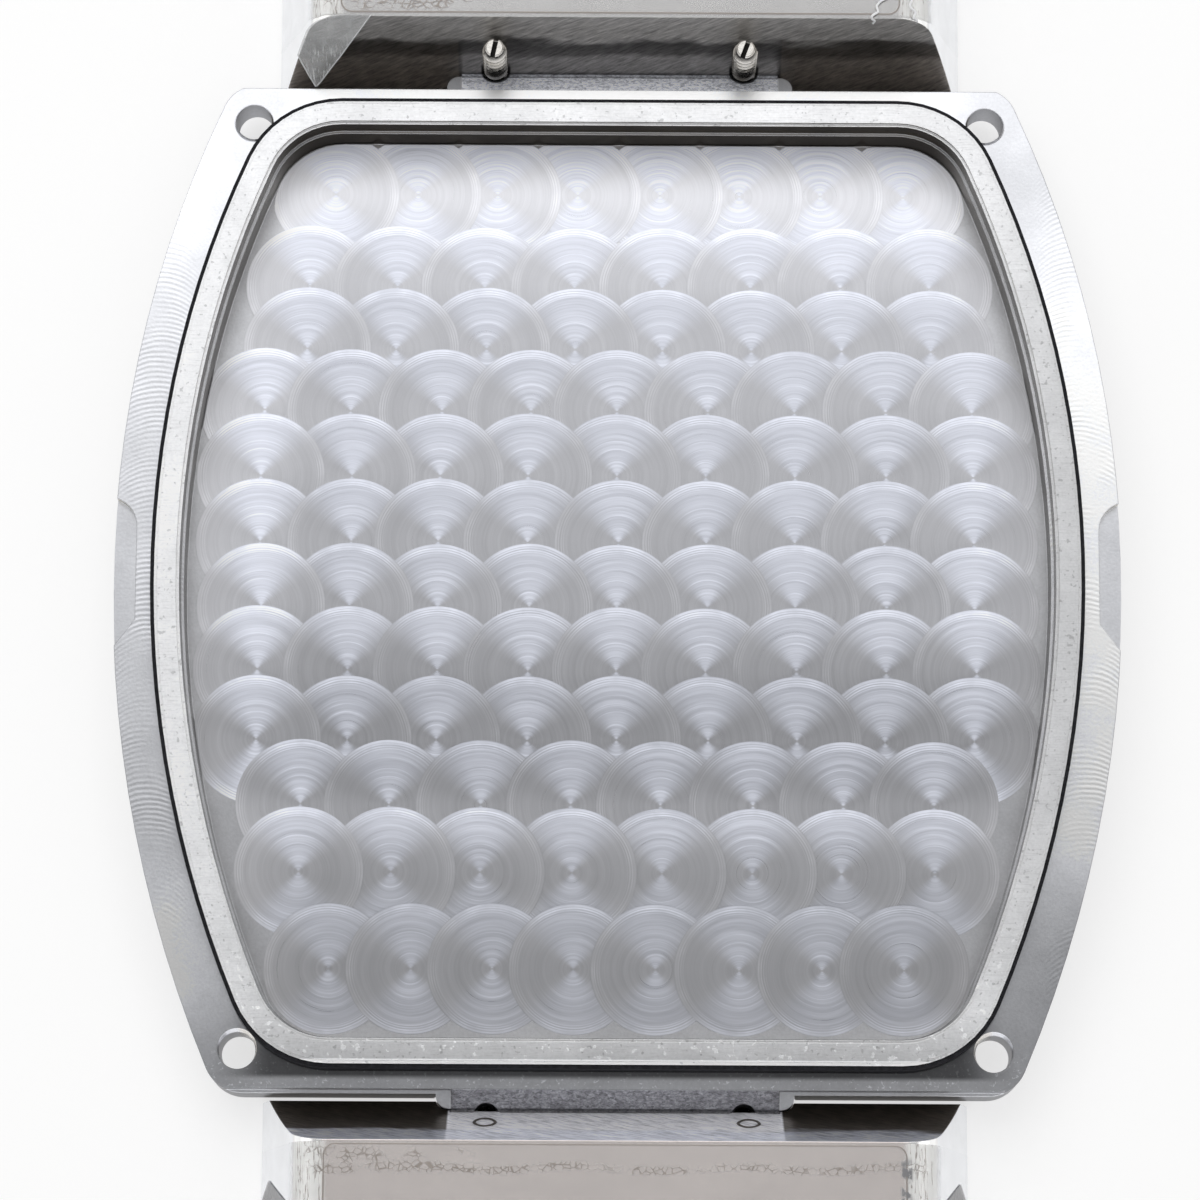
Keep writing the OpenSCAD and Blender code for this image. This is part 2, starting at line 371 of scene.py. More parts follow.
def makeFloor(s):
    deselectAll()
    bpy.ops.mesh.primitive_plane_add(size=6, location=(0, 0, 0))
    obj = bpy.context.active_object
    obj.name = "floor"
    material, tree = newMaterial("white_floor", Base_Color=(s["floor"],) * 3 + (1,), Roughness=0.9,
                                 Specular_IOR_Level=0.0, Emission_Color=(1, 1, 1, 1))
    give(tree, Emission_Strength=times(tree, seenDirectly(tree), s["floorGlow"]))
    wear(obj, material)


makeCamera(camera)
makeLamp(key)
makeWorld(studio)
makeFloor(studio)
bpy.context.scene.view_settings.view_transform = "Standard"
print("camera, lamps and floor are up")

# Back plate

plate = {
    "curve": 190,  # radius along the watch, mm
    "rimHeight": 1.2,
    "floorDepth": 1.4,
    "pocketDepth": 0.4,
    "halfLength": 20.5,
    "rimHalfLength": 19.62,
    "rimSide": (25.58, 44.05),  # how far off the bowed sides' middle lies, and their radius
    "pocket": (18.9, 3.3),  # where it starts across, and its half length
    "tabHalf": 6.5,
    # a dark line is painted along the bevel's foot, as shade in the gap
    "bevelFootShade": (21.17, 21.21),
    "holes": (5.1, 21.5, 0.60),  # the screw holes' middles, and the radius of the painted shadow round their mouths
    "north": (14, 19.5),  # where each side's tone starts and is full
    "south": (-17.5, -20.0),
    "east": (14, 18),
    "west": (-14, -18),
    "milled": (0.74, 0.75, 0.785),
    "rim": (0.89, 0.895, 0.91),
    "bevel": (0.62, 0.62, 0.66),
    # the bevel is painted lighter and bluer at 12 as lit, and darker at 6 as shade
    "bevel12": (0.88, 0.90, 0.98),
    "wall": (0.70, 0.68, 0.65),
    # the wall at 12 is painted dark as shade, over this band of Y
    "shadedWall12": (0.15, 0.14, 0.13),
    "shadedWallBand": (16.2, 18.2),
    "pocketWall": (0.90, 0.88, 0.82),
    "grazing": (0.34, 0.335, 0.33, 1),  # tint of what is seen at a low angle
    "metalOfBevel12": 0.45,  # the rest of it is matt
    # painted light and shade on the flange by side, and a painted shadow next to the gasket at 6
    "flangeLightAndShade": {"northWest": 1.25, "west": 1.08, "east": 1.36, "south": 0.82, "southEast": 0.56,
                    "southWest": 1.35, "gasketShadow": 0.22},
    # painted light on the flange strip at 12, brighter towards the middle
    "northStripLight": (1.06, 1.40),
    # painted light and shade on the rim, by side
    "rimLightAndShade": {"north": 1.04, "south": 0.60, "east": 0.82, "west": 1.14},
    # pits, chips, arcs, grinding and specks are marks; the rest is painted light and shade
    "tones": {"pits": 0.72, "chips": 1.25, "arcs": 1.05, "grinding": 0.86, "bevel12": 1.15,
              "bevel6Shade": 0.60, "bevelFootShade": 0.40, "holeShadows": 0.08, "edges": 0.42, "floorSideShade": 0.82,
              "floorNorthLight": 1.25, "earShade": 0.45, "southEdgeHighlight": 1.9, "specks": 1.5},
    "rough": {"south": 0.30, "north": 0.40, "rim": 0.50, "floor": 0.36, "wall": 0.14, "pocket": 0.5,
              "bevel": 0.42, "bevel12": 0.60},
    "cutter": {"radius": 2.1, "step": 0.21, "from": 16.7, "to": 20.9, "middle": 18.6},
}
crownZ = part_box("back_plate")[1].z / mm - plate["rimHeight"]


def plateHeight(tree, y, z):
    # Height above the flange's curved face, in mm
    return minus(tree, lengthOf(tree, plus(tree, z, plate["curve"] - crownZ), y), plate["curve"])


def fromHole(tree, x, y):
    # Distance from the middle of the nearest strap screw hole
    holeX, holeY, _ = plate["holes"]
    return lengthOf(tree, minus(tree, absolute(tree, x), holeX), minus(tree, absolute(tree, y), holeY))


def holeShadowRings(tree, x, y):
    # A ring of painted shadow round each screw hole's mouth
    radius = plate["holes"][2]
    return band(tree, fromHole(tree, x, y), radius + 0.03, radius - 0.03)


def cutterArcs(tree, c, place, farX, y):
    # Arcs that the milling cutter left on the flange
    offset = minus(tree, calc(tree, "WRAP", farX, c["to"], c["from"]), c["middle"])
    inside = minus(tree, c["radius"] ** 2, times(tree, offset, offset))
    arc = calc(tree, "SQRT", most(tree, inside, 0.01))
    wander = noiseOf(tree, mapped(tree, place, (0.35, 0.35, 0.35)), 1.0, 2)
    along = plus(tree, minus(tree, y, arc), times(tree, wander, 0.5))
    wave = calc(tree, "SINE", times(tree, along, 2 * math.pi / c["step"]))
    patchy = band(tree, noiseOf(tree, place, 0.30, 3), 0.40, 0.60)
    return times(tree, timesPlus(tree, wave, 0.5, 0.5), patchy, band(tree, farX, 16.8, 18.0))


def plateMaterial(p):
    material, tree = newMaterial("milled_steel", Specular_Tint=p["grazing"])
    place = placeMm(tree)
    x, y, z = split(tree, place)
    farX, farY = absolute(tree, x), absolute(tree, y)
    north, south = band(tree, y, *p["north"]), band(tree, y, *p["south"])
    east, west = band(tree, x, *p["east"]), band(tree, x, *p["west"])
    soft = softEdge(tree, 0.06)
    height = plateHeight(tree, y, z)
    faceUp = band(tree, split(tree, trueNormal(tree))[2], 0.75, 0.9)
    onRim = times(tree, band(tree, height, 0.9, 1.0), faceUp)
    onFlange = times(tree, window(tree, height, -0.1, 0.6, 0.1), faceUp)
    onFloor = times(tree, band(tree, height, -0.9, -1.2), faceUp)
    pocketX, pocketY = p["pocket"]
    inPocket = times(tree, band(tree, farX, pocketX, pocketX + 0.1), window(tree, farY, -1, pocketY, 0.1),
                     window(tree, height, -p["pocketDepth"] - 0.01, -0.06, 0.04))
    pastEnd = band(tree, farY, p["halfLength"] - 0.02, p["halfLength"] + 0.02)
    onBevel = times(tree, pastEnd, band(tree, farX, p["tabHalf"] + 0.02, p["tabHalf"] - 0.02))
    bowX, bowR = p["rimSide"]
    rimEnd = p["rimHalfLength"]
    nearRim = times(tree, band(tree, lengthOf(tree, plus(tree, farX, bowX), y), bowR + 0.4, bowR + 0.2),
                    band(tree, farY, rimEnd + 0.3, rimEnd + 0.2))
    onWall = times(tree, minus(tree, 1.0, faceUp), most(tree, nearRim, inPocket))
    # A painted highlight along the rim's outer edge at 6
    southEdgeHighlight = times(tree, band(tree, farY, rimEnd - 0.20, rimEnd - 0.14), band(tree, y, -17, -18))

    arcs = times(tree, cutterArcs(tree, p["cutter"], place, farX, y), onFlange)
    grain = noiseOf(tree, place, 9, 4, 0.6)
    cloud = noiseOf(tree, place, 0.45, 3, 0.6)
    ground = noiseOf(tree, mapped(tree, place, (1.2, 14, 14)), 1.3, 4, 0.65)  # scratches across
    pits = band(tree, noiseOf(tree, place, 5.5, 2, 0.4), 0.64, 0.71)
    chips = times(tree, band(tree, noiseOf(tree, place, 3.4, 2, 0.6), 0.62, 0.68), onRim,
                  band(tree, y, -12, -18))
    specks = times(tree, band(tree, noiseOf(tree, place, 7.0, 3, 0.6), 0.60, 0.68),
                   band(tree, y, -18.8, -19.6))
    coarse = noiseOf(tree, mapped(tree, place, (0.8, 1.6, 1.6)), 8.0, 5, 0.75, 0.8)
    cells = addNode(tree, "TexVoronoi", {"Vector": place, "Scale": 7.0})
    facet = split(tree, cells.outputs["Color"])[0]

    # Painted light and shade on the flange by side, and a painted shadow next to the gasket
    flangePaintedLight = toned(tree, {
        "northWest": times(tree, west, band(tree, y, 11, 15)),
        "west": west,
        "east": times(tree, east, band(tree, y, 15, 11)),
        "south": south,
        "southEast": times(tree, east, band(tree, y, -11, -15)),
        "southWest": times(tree, west, band(tree, y, -11, -14), band(tree, y, -18.5, -16.5)),
        "gasketShadow": times(tree, band(tree, farY, rimEnd + 0.55, rimEnd + 0.30, smooth=True),
                            band(tree, y, -17, -19), band(tree, farX, 16.2, 13.5, smooth=True)),
    }, p["flangeLightAndShade"])
    # Painted light on the flange strip at 12
    corners = times(tree, band(tree, farY, 16.8, 18.4), band(tree, y, -1, 1))
    paintedNorthLight = band(tree, farX, 15.5, 12.0, *p["northStripLight"])
    flangePaintedLight = times(tree, flangePaintedLight, within(tree, corners, paintedNorthLight))
    # Painted light and shade on the rim
    rimPaintedLight = toned(tree, {"north": north, "south": south, "east": east, "west": west}, p["rimLightAndShade"])
    colour = mixColour(tree, onRim, p["milled"], p["rim"])
    # The bevel is painted lighter and bluer at 12, as lit
    colour = mixColour(tree, onBevel, colour, mixColour(tree, north, p["bevel"], p["bevel12"]))
    # The wall at 12 is painted dark, as shade
    wall = mixColour(tree, band(tree, y, *p["shadedWallBand"], smooth=True), p["wall"], p["shadedWall12"])
    colour = mixColour(tree, onWall, colour, mixColour(tree, inPocket, wall, p["pocketWall"]))
    # Marks, with painted light and shade: the bevels, dark lines at the bevel's foot, hole mouths and flange
    # edges, the floor's sides and north end, the ears, and a highlight on the rim's south edge
    shade = toned(tree, {
        "pits": times(tree, pits, onRim),
        "chips": chips,
        "arcs": arcs,
        "grinding": times(tree, band(tree, ground, 0.52, 0.7), onRim),
        "bevel12": times(tree, onBevel, north),
        "bevel6Shade": times(tree, onBevel, south),
        # painted shade in a line at the bevel's foot
        "bevelFootShade": times(tree, onBevel, band(tree, farY, *p["bevelFootShade"])),
        "holeShadows": times(tree, holeShadowRings(tree, x, y), pastEnd, north),
        # painted shade along the flange's edges
        "edges": times(tree, edgeMask(tree, soft), onFlange),
        # painted shade on the floor's sides, painted light at its north end
        "floorSideShade": times(tree, onFloor, band(tree, farX, 12, 15)),
        "floorNorthLight": times(tree, onFloor, north),
        # painted shade on the ears at 12
        "earShade": times(tree, pastEnd, band(tree, farX, p["tabHalf"], p["tabHalf"] + 0.05), faceUp, north),
        "southEdgeHighlight": times(tree, onRim, southEdgeHighlight),
        "specks": times(tree, specks, onFlange),
    }, p["tones"])
    shade = times(tree, shade, band(tree, grain, 0.3, 0.7, 0.93, 1.05),
                  band(tree, cloud, 0.35, 0.65, 0.93, 1.04),
                  within(tree, onFlange, flangePaintedLight), within(tree, onRim, rimPaintedLight),
                  within(tree, onBevel, band(tree, coarse, 0.38, 0.62, 0.50, 1.30)),
                  within(tree, onBevel, band(tree, facet, 0.1, 0.9, 0.80, 1.20)))

    r = p["rough"]
    rough = mixValue(tree, north, r["south"], r["north"])
    for mask, value in ((onRim, r["rim"]), (onFloor, r["floor"]),
                        (onWall, mixValue(tree, inPocket, r["wall"], r["pocket"])),
                        (onBevel, mixValue(tree, north, r["bevel"], r["bevel12"]))):
        rough = mixValue(tree, mask, rough, value)
    normal = bumpOf(tree, mixValue(tree, onRim, arcs, ground), 0.006, 0.7, soft)
    torn = times(tree, timesPlus(tree, facet, 0.6, coarse), onBevel)
    texture = timesPlus(tree, chips, 2.0, timesPlus(tree, torn, 6.0, grain))
    give(tree, Base_Color=tinted(tree, colour, shade),
         Metallic=within(tree, times(tree, onBevel, band(tree, y, -1, 1)), p["metalOfBevel12"]),
         Roughness=timesPlus(tree, grain, 0.10, minus(tree, rough, 0.05)),
         Normal=bumpOf(tree, texture, 0.006, 0.8, normal))
    return material


dress("back_plate", plateMaterial(plate))
print("back plate dressed")

# Circular graining

graining = {
    "spot": 2.6,  # radius of one spot, mm
    "rows": (16.28, 12.3, 9.65, 7.05, 4.34, 1.6, -1.08, -3.67, -6.47, -9.1, -11.8, -15.64),
    "wide": (9, 3.6),  # columns and their pitch
    "narrow": (8, 3.62),
    "first": (8, 3.32),
    "last": (8, 3.28),
    "wideFrom": 8.5,  # rows nearer to the middle than this are wide
    "jitter": (0.06, 0.03),
    "segments": 64,
    "rings": (0.20, 0.58, 0.66, 1.1, 1.45, 1.9, 2.25, 2.40, 2.6),
    "ringHeight": (0.0, 0.0, 0.0015, 0.0, 0.001, 0.0, 0.0, 0.0015, -0.003),
    "rowTilt": 0.0085,
    "columnTilt": 0.0040,
    "lift": 0.038,
    "wall": {"halfWidth": 17.30, "halfLength": 18.45, "sideRadius": 42.9, "cornerRadius": 2.9},
    "fanHighlight": (0.61, 0.63, 0.70),  # painted highlight, towards 12 and 6 o'clock of each spot
    # painted darker towards 3 and 9 o'clock of each spot
    "fanSideShade": (0.55, 0.555, 0.585),
    "matt": ((15.2, 17.6, 0.12), (-7.5, -12.4, 0.42)),  # Y, Y, what is left of the metal
    # painted light and shade: the floor lighter or darker by Y, and by X below
    "tones": ((10.5, 13.5, 0.12), (13.0, 16.5, 0.32), (-1.5, -4.5, -0.14), (-7.5, -10.5, 0.24),
              (-8.5, -12.4, -0.38)),  # Y, Y, gain
    "sideLight": ((-11, -16.5, 0.30), (11, 16.5, 0.14)),  # X, X, gain
    "outerMarks": 2.2,  # radius from where the marks go all round
    # ring marks, painted brighter towards 12 and 6 o'clock as highlights
    "marks": ((0.61, 0.04, 0.20), (1.13, 0.03, 0.22), (1.46, 0.03, 0.18), (2.24, 0.03, 0.24),
              (2.33, 0.035, 0.38), (2.43, 0.04, 0.46), (2.53, 0.06, 0.34)),  # radius, width, gain
    "fineLines": (-0.12, 0.18),
}


def floorZ(y, above=0.0):
    r = plate["curve"] - plate["floorDepth"] + above
    return crownZ - plate["curve"] + math.sqrt(r * r - y * y)


def insideWall(x, y, w):
    # Inside the barrel outline of the recess's wall?
    bow = w["sideRadius"] - w["halfWidth"]
    if abs(y) > w["halfLength"] or math.hypot(abs(x) + bow, y) > w["sideRadius"]:
        return False
    cornerY = w["halfLength"] - w["cornerRadius"]
    cornerX = math.sqrt((w["sideRadius"] - w["cornerRadius"]) ** 2 - cornerY**2) - bow
    outX, outY = abs(x) - cornerX, abs(y) - cornerY
    return min(outX, outY) <= 0 or math.hypot(outX, outY) <= w["cornerRadius"]


def trimShare(x, y, cx, cy, w):
    # The share of a spoke that lies inside the wall
    if insideWall(x, y, w):
        return 1.0
    low, high = 0.0, 1.0
    for _ in range(14):
        mid = (low + high) / 2
        if insideWall(cx + (x - cx) * mid, cy + (y - cy) * mid, w):
            low = mid
        else:
            high = mid
    return low


def ringLevel(g, radius):
    # Height of the ring profile at this radius, between the rings too
    inner, innerLevel = 0.0, 0.0
    for outer, level in zip(g["rings"], g["ringHeight"]):
        if radius <= outer:
            share = (radius - inner) / (outer - inner)
            return innerLevel + (level - innerLevel) * share
        inner, innerLevel = outer, level
    return g["ringHeight"][-1]


def makeSpot(g):
    # One spot: a disc of concentric rings, drawn in towards its middle
    deselectAll()
    bpy.ops.mesh.primitive_circle_add(vertices=g["segments"], radius=g["spot"] * mm, fill_type="NOTHING")
    spot = bpy.context.active_object
    editAll()
    radius = g["spot"]
    for ring in reversed(g["rings"][:-1]):
        bpy.ops.mesh.extrude_region_move()
        bpy.ops.transform.resize(value=(ring / radius, ring / radius, 1), center_override=(0, 0, 0))
        radius = ring
    bpy.ops.mesh.extrude_region_move()
    bpy.ops.mesh.merge(type="CENTER")
    editDone()
    turnOutwards(spot)
    if spot.data.polygons[0].normal.z < 0:
        spot.data.flip_normals()
    # The map holds each point's place in its own spot
    layer = spot.data.uv_layers.new(name="spot")
    for loop in spot.data.loops:
        co = spot.data.vertices[loop.vertex_index].co / mm / g["spot"] / 2
        layer.data[loop.index].uv = (0.5 + co.x, 0.5 + co.y)
    return spot


def makeGraining(g):
    base = makeSpot(g)
    rng = random.Random(11)
    jitterX, jitterY = g["jitter"]
    spots = []
    for rowIndex, cy in enumerate(g["rows"]):
        lastOne = rowIndex == len(g["rows"]) - 1
        columns, pitch = g["narrow" if abs(cy) > g["wideFrom"] else "wide"]
        if lastOne or rowIndex == 0:
            columns, pitch = g["last" if lastOne else "first"]
        side = 1 if (rowIndex % 2 or lastOne) else -1  # which way the spots overlap in the row
        for column in range(columns):
            cx = (column - (columns - 1) / 2) * pitch + rng.uniform(-jitterX, jitterX)
            cyHere = cy + rng.uniform(-jitterY, jitterY)
            if not insideWall(cx, cyHere, g["wall"]):
                continue
            twin = copyOf(base)
            for vertex in twin.data.vertices:
                px, py = vertex.co.x / mm, vertex.co.y / mm
                share = trimShare(cx + px, cyHere + py, cx, cyHere, g["wall"])
                x, y = cx + px * share, cyHere + py * share
                tilt = g["rowTilt"] * (y - cyHere) + g["columnTilt"] * side * (cx - x)
                above = g["lift"] + ringLevel(g, math.hypot(px, py) * share) + tilt
                vertex.co = Vector((x, y, floorZ(y, above))) * mm
            spots.append(twin)
    bpy.data.objects.remove(base)
    obj = joinAll(spots, "floor_graining")
    editAll()
    bpy.ops.mesh.remove_doubles(threshold=0.0004 * mm)
    editDone()
    smoothAll(obj)
    print("spots:", len(spots), "faces:", len(obj.data.polygons))
    return obj


def grainingMaterial(g):
    material, tree = newMaterial("grained_steel", Anisotropic=0.95)
    spotMap = addNode(tree, "UVMap", uv_map="spot").outputs[0]
    px, py = [times(tree, minus(tree, share, 0.5), 2 * g["spot"]) for share in split(tree, spotMap)[:2]]
    radius = lengthOf(tree, px, py)
    unit = addNode(tree, "VectorMath", {0: joined(tree, px, py, 0.0)}, operation="NORMALIZE")

    # How far a point lies towards 12 or 6 o'clock of its spot
    endways = calc(tree, "DIVIDE", absolute(tree, py), most(tree, radius, 0.05))
    facing = band(tree, endways, 0.50, 0.97, smooth=True)
    # A painted highlight round each spot's middle, towards 12 and 6 o'clock
    core = times(tree, band(tree, endways, 0.80, 0.97), band(tree, radius, 0.75, 0.45))

    place = placeMm(tree)
    x, y, _ = split(tree, place)
    shifted = timesPlus(tree, noiseOf(tree, place, 0.8, 2), 0.05, radius)
    ringPlace = joined(tree, shifted, times(tree, x, 0.02), times(tree, y, 0.02))
    fine = noiseOf(tree, ringPlace, 7, 4, 0.75)
    coarse = noiseOf(tree, ringPlace, 2.6, 2, 0.5)
    broken = band(tree, noiseOf(tree, place, 1.1, 3), 0.35, 0.65, 0.35, 1.0)

    # Ring marks and fine lines, painted stronger towards 12 and 6 o'clock as highlights
    marks = 0.0
    for at, width, gain in g["marks"]:
        off = absolute(tree, minus(tree, shifted, at + 0.025))
        line = band(tree, off, width * 0.4, width, gain, 0)
        sideways = 0.55 if at > g["outerMarks"] else 0.12
        marks = timesPlus(tree, line, mixValue(tree, facing, sideways, 1.0), marks)
    lines = times(tree, band(tree, fine, 0.35, 0.68, *g["fineLines"]), mixValue(tree, facing, 0.45, 1.0))
    # Painted light and shade: the floor lighter or darker by place
    paintedLight, metal = 1.0, 1.0
    for value, steps in ((y, g["tones"]), (x, g["sideLight"])):
        for start, full, gain in steps:
            paintedLight = plus(tree, band(tree, value, start, full, 0, gain, smooth=True), paintedLight)
    for start, full, left in g["matt"]:
        metal = times(tree, band(tree, y, start, full, 1.0, left, smooth=True), metal)
    shade = times(tree, plus(tree, 1.0, lines, times(tree, marks, broken)),
                  band(tree, coarse, 0.3, 0.7, 0.96, 1.04), within(tree, core, 1.04), paintedLight)
    # Painted highlight: lighter and bluer towards 12 and 6 o'clock of each spot
    give(tree, Base_Color=tinted(tree, mixColour(tree, facing, g["fanSideShade"], g["fanHighlight"]), shade),
         Metallic=metal, Roughness=band(tree, fine, 0.3, 0.7, 0.27, 0.36),
         Normal=bumpOf(tree, fine, 0.004, 0.8), Tangent=unit.outputs[0])
    return material


grained = makeGraining(graining)
wear(grained, grainingMaterial(graining))
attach(grained, "case_back")
print("circular graining laid")

# Gasket

gasket = {"black": (0.012, 0.012, 0.014), "worn": (0.03, 0.03, 0.035), "gloss": 0.08}


def gasketMaterial(g):
    material, tree = newMaterial("black_rubber", Specular_IOR_Level=g["gloss"])
    speck = noiseOf(tree, placeMm(tree), 6, 3)
    give(tree, Base_Color=mixColour(tree, band(tree, speck, 0.4, 0.8), g["black"], g["worn"]),
         Roughness=band(tree, speck, 0.3, 0.7, 0.55, 0.75))
    return material


dress("case_gasket", gasketMaterial(gasket))
print("gasket dressed")

# End links

link = {
    "hollow": (3.507, 11.961, 20.0),  # middle (Y, Z) and radius of the hollow face
    "shadedSteel12": (0.48, 0.48, 0.48),
    "steel6": (0.72, 0.665, 0.64),
    # the link at 12 is painted darker than the one at 6, as shade
    "shoulder": (0.97, 0.97, 0.96),
    # the shoulders are painted near white as a highlight, the flanks light and bluish as a reflection
    "flank": (0.86, 0.87, 0.89),
    "hollowShading12": {"middle": (0.26, 0.25, 0.24), "side": (0.42, 0.385, 0.35), "high": (0.55, 0.535, 0.52)},
    # painted light and shade on the hollow faces: sides and middle, with a lighter upper part
    "hollowShading6": {"middle": (0.95, 0.95, 1.0), "side": (0.20, 0.175, 0.15), "high": (0.84, 0.86, 0.96)},
    "highFrom": (4.55, 5.05),  # heights between which the hollow face's upper part turns matt and is painted lighter
    "darkReflectionBand": (4.15, 4.75),  # at 12 a band of painted dark reflection lies below it
    "darkReflection": 0.5,
    "holeShadows": 0.08,
    "middleHalf": 6.6,
    "metalOfMiddle6": 0.45,  # the rest of it is matt
}


def hollowY(z):
    y, middle, radius = link["hollow"]
    return y + math.sqrt(radius**2 - (z - middle) ** 2)


def grindMarks(tree, place):
    # Slanting streaks of the hollow face
    return noiseOf(tree, mapped(tree, mapped(tree, place, turn=(0, 31, 0)), (0.45, 5, 8)), 1.2, 5, 0.7)


def grindShade(tree, streaks):
    return band(tree, streaks, 0.32, 0.68, 0.55, 1.40)


def linkMaterial(l):
    material, tree = newMaterial("polished_steel")
    place = placeMm(tree)
    x, y, z = split(tree, place)
    across, along, up = split(tree, trueNormal(tree))
    inwards = times(tree, along, calc(tree, "SIGN", y))
    inHollow = times(tree, band(tree, inwards, -0.5, -0.62), band(tree, up, 0.86, 0.78))
    aside = absolute(tree, across)
    onFlank = band(tree, aside, 0.80, 0.88)
    onShoulder = times(tree, band(tree, aside, 0.05, 0.2), band(tree, aside, 0.88, 0.80))
    streaks = grindMarks(tree, place)
    smear = noiseOf(tree, mapped(tree, place, (0.25, 0.8, 0.8)), 1.0, 3, 0.6)
    at12 = band(tree, y, -1, 1)
    # Painted shade: the link at 12 is darker
    colour = mixColour(tree, at12, l["steel6"], l["shadedSteel12"])
    # Painted highlight on the shoulders, painted reflection on the flanks
    colour = mixColour(tree, onShoulder, colour, l["shoulder"])
    colour = mixColour(tree, onFlank, colour, l["flank"])
    wave = timesPlus(tree, smear, 1.6, minus(tree, z, 0.8))
    high = band(tree, wave, *l["highFrom"], smooth=True)
    middle = band(tree, absolute(tree, x), l["middleHalf"] + 0.06, l["middleHalf"] - 0.02)
    # Painted light and shade on the hollow faces, lighter on their upper part
    hollows = []
    for tones in (l["hollowShading6"], l["hollowShading12"]):
        low = mixColour(tree, middle, tones["side"], tones["middle"])
        hollows.append(mixColour(tree, high, low, tones["high"]))
    colour = mixColour(tree, inHollow, colour, mixColour(tree, at12, *hollows))
    # A band of painted dark reflection across the hollow at 12
    darkReflection = times(tree, window(tree, wave, *l["darkReflectionBand"], 0.3), inHollow, at12)
    # Painted shadow round the screw holes at 12
    holeShadows = times(tree, holeShadowRings(tree, x, y), band(tree, z, 3.6, 3.3), at12)
    shade = times(tree, within(tree, inHollow, grindShade(tree, streaks)),
                  band(tree, smear, 0.3, 0.7, 0.95, 1.03),
                  within(tree, darkReflection, l["darkReflection"]), within(tree, holeShadows, l["holeShadows"]))
    matt = times(tree, inHollow, middle, band(tree, y, 1, -1))
    ground = mixValue(tree, high, mixValue(tree, at12, 0.42, 0.30), 0.46)
    give(tree, Base_Color=tinted(tree, colour, shade), Metallic=within(tree, matt, l["metalOfMiddle6"]),
         Roughness=mixValue(tree, inHollow, 0.07, ground),
         Normal=bumpOf(tree, times(tree, streaks, inHollow), 0.010, 0.5, softEdge(tree, 0.07)))
    return material


polished = linkMaterial(link)
for linkName in ("end_link_12", "end_link_6"):
    dress(linkName, polished)
print("end links dressed")

# Strap screws

screw = {
    "pitch": 0.40,
    "crest": 0.50,
    "root": 0.38,
    "tipTaper": 0.08,
    "tipSlot": (0.20, 0.34, 0.9),  # width, depth, length
    "headSlot": (0.25, 0.3, 2.0),
    "headRadius": 0.75,
    "headHeight": 0.62,
    "headEdge": 0.04,
    "steel": (0.62, 0.60, 0.57),
    "stain": (0.36, 0.33, 0.28),
    "tip12": 6.209,
    "sunk": 1.0,  # how much further down the tips at 6 o'clock end than the solids
    "tipTurns": {"strap_screw_12_left": -12, "strap_screw_12_right": -20,
                 "strap_screw_6_left": 35, "strap_screw_6_right": 70},
}


def cutSlot(obj, place, slot, turn):
    width, depth, length = slot
    deselectAll()
    bpy.ops.mesh.primitive_cube_add(size=1, location=Vector(place) * mm, rotation=(0, 0, math.radians(turn)))
    cutter = bpy.context.active_object
    cutter.scale = (width * mm, length * mm, 2 * depth * mm)
    applyModifier(obj, "BOOLEAN", operation="DIFFERENCE", object=cutter, solver="EXACT")
    bpy.data.objects.remove(cutter)


def makeCore(s, x, y, bottom, top):
    # Head and core, drawn up out of one circle
    neck, edge, head = bottom + s["headHeight"], s["headEdge"], s["headRadius"]
    radius, height = head - edge, bottom
    deselectAll()
    bpy.ops.mesh.primitive_circle_add(vertices=40, radius=radius * mm, location=(x * mm, y * mm, bottom * mm),
                                      fill_type="NGON")
    core = bpy.context.active_object
    settle(core)
    steps = [  # radius and height of each ring
        (head, bottom + edge), (head, neck - edge), (head - edge, neck), (s["root"], neck),
        (s["root"], top - s["tipTaper"]), (s["root"] - s["tipTaper"] * 0.8, top),
    ]
    editAll()
    for nextRadius, nextHeight in steps:
        bpy.ops.mesh.extrude_region_move(
            TRANSFORM_OT_translate={"value": (0, 0, (nextHeight - height) * mm)})
        ratio = nextRadius / radius
        bpy.ops.transform.resize(value=(ratio, ratio, 1), center_override=(x * mm, y * mm, 0))
        radius, height = nextRadius, nextHeight
    editDone()
    turnOutwards(core)
    return core


def makeThread(s, x, y, low, high):
    # One three-sided tooth wound up the core
    deselectAll()
    bpy.ops.mesh.primitive_circle_add(vertices=3, radius=0.1 * mm, fill_type="NOTHING")
    tooth = bpy.context.active_object
    inner = s["root"] - 0.03
    corners = [(inner, 0), (s["crest"], s["pitch"] * 0.46), (inner, s["pitch"] * 0.92)]
    for vertex, (r, h) in zip(tooth.data.vertices, corners):
        vertex.co = Vector((r, 0, low + h)) * mm
    applyModifier(tooth, "SCREW", angle=2 * math.pi, screw_offset=s["pitch"] * mm,
                  iterations=int((high - low) / s["pitch"]), steps=28, render_steps=28, axis="Z",
                  use_merge_vertices=True)
    tooth.location = (x * mm, y * mm, 0)
    settle(tooth)
    bpy.ops.object.mode_set(mode="EDIT")
    bpy.ops.mesh.select_all(action="DESELECT")
    bpy.ops.mesh.select_mode(type="EDGE")
    bpy.ops.mesh.select_non_manifold()
    bpy.ops.mesh.edge_face_add()
    bpy.ops.mesh.select_mode(type="VERT")
    editDone()
    turnOutwards(tooth)
    return tooth


